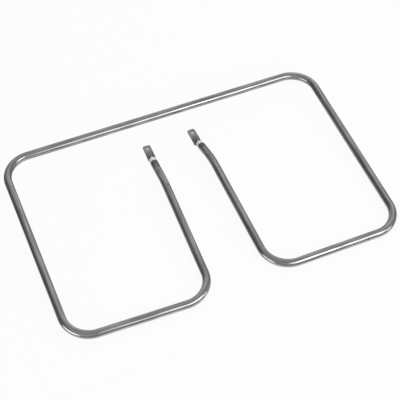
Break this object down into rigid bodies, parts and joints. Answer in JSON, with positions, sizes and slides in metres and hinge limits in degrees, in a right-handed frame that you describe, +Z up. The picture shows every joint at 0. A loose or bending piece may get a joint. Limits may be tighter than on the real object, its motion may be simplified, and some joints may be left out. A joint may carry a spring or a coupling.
{
  "type": "tubular heating element",
  "caption": "Flat rectangular heating element bent from thin steel tube, with two inward legs that end in white beads and flat push-on tabs.",
  "frame": {"origin": "middle of the element's box, on the surface that it lies on", "axes": "+X to the right along the back rail, +Y from the open front towards the back rail, +Z up"},
  "size_m": [0.2578, 0.1726, 0.0167],
  "materials": {
    "sheath_steel": "bright drawn stainless steel with fine lengthwise streaks",
    "magnesia": "compacted magnesium oxide powder",
    "coil_wire": "drawn nickel-chromium wire",
    "pin_steel": "drawn steel wire",
    "seal_resin": "cured silicone resin",
    "bead_ceramic": "white fired ceramic, satin",
    "tab_steel": "stamped nickel-plated steel, satin"
  },
  "bodies": {
    "root": {"sheath_tube": "sheath_steel", "insulating_powder": "magnesia", "resistance_coil": "coil_wire", "terminal_pin_left": "pin_steel", "end_seal_left": "seal_resin", "insulating_bead_left": "bead_ceramic", "terminal_tab_left": "tab_steel", "terminal_pin_right": "pin_steel", "end_seal_right": "seal_resin", "insulating_bead_right": "bead_ceramic", "terminal_tab_right": "tab_steel"}
  },
  "joints": []
}
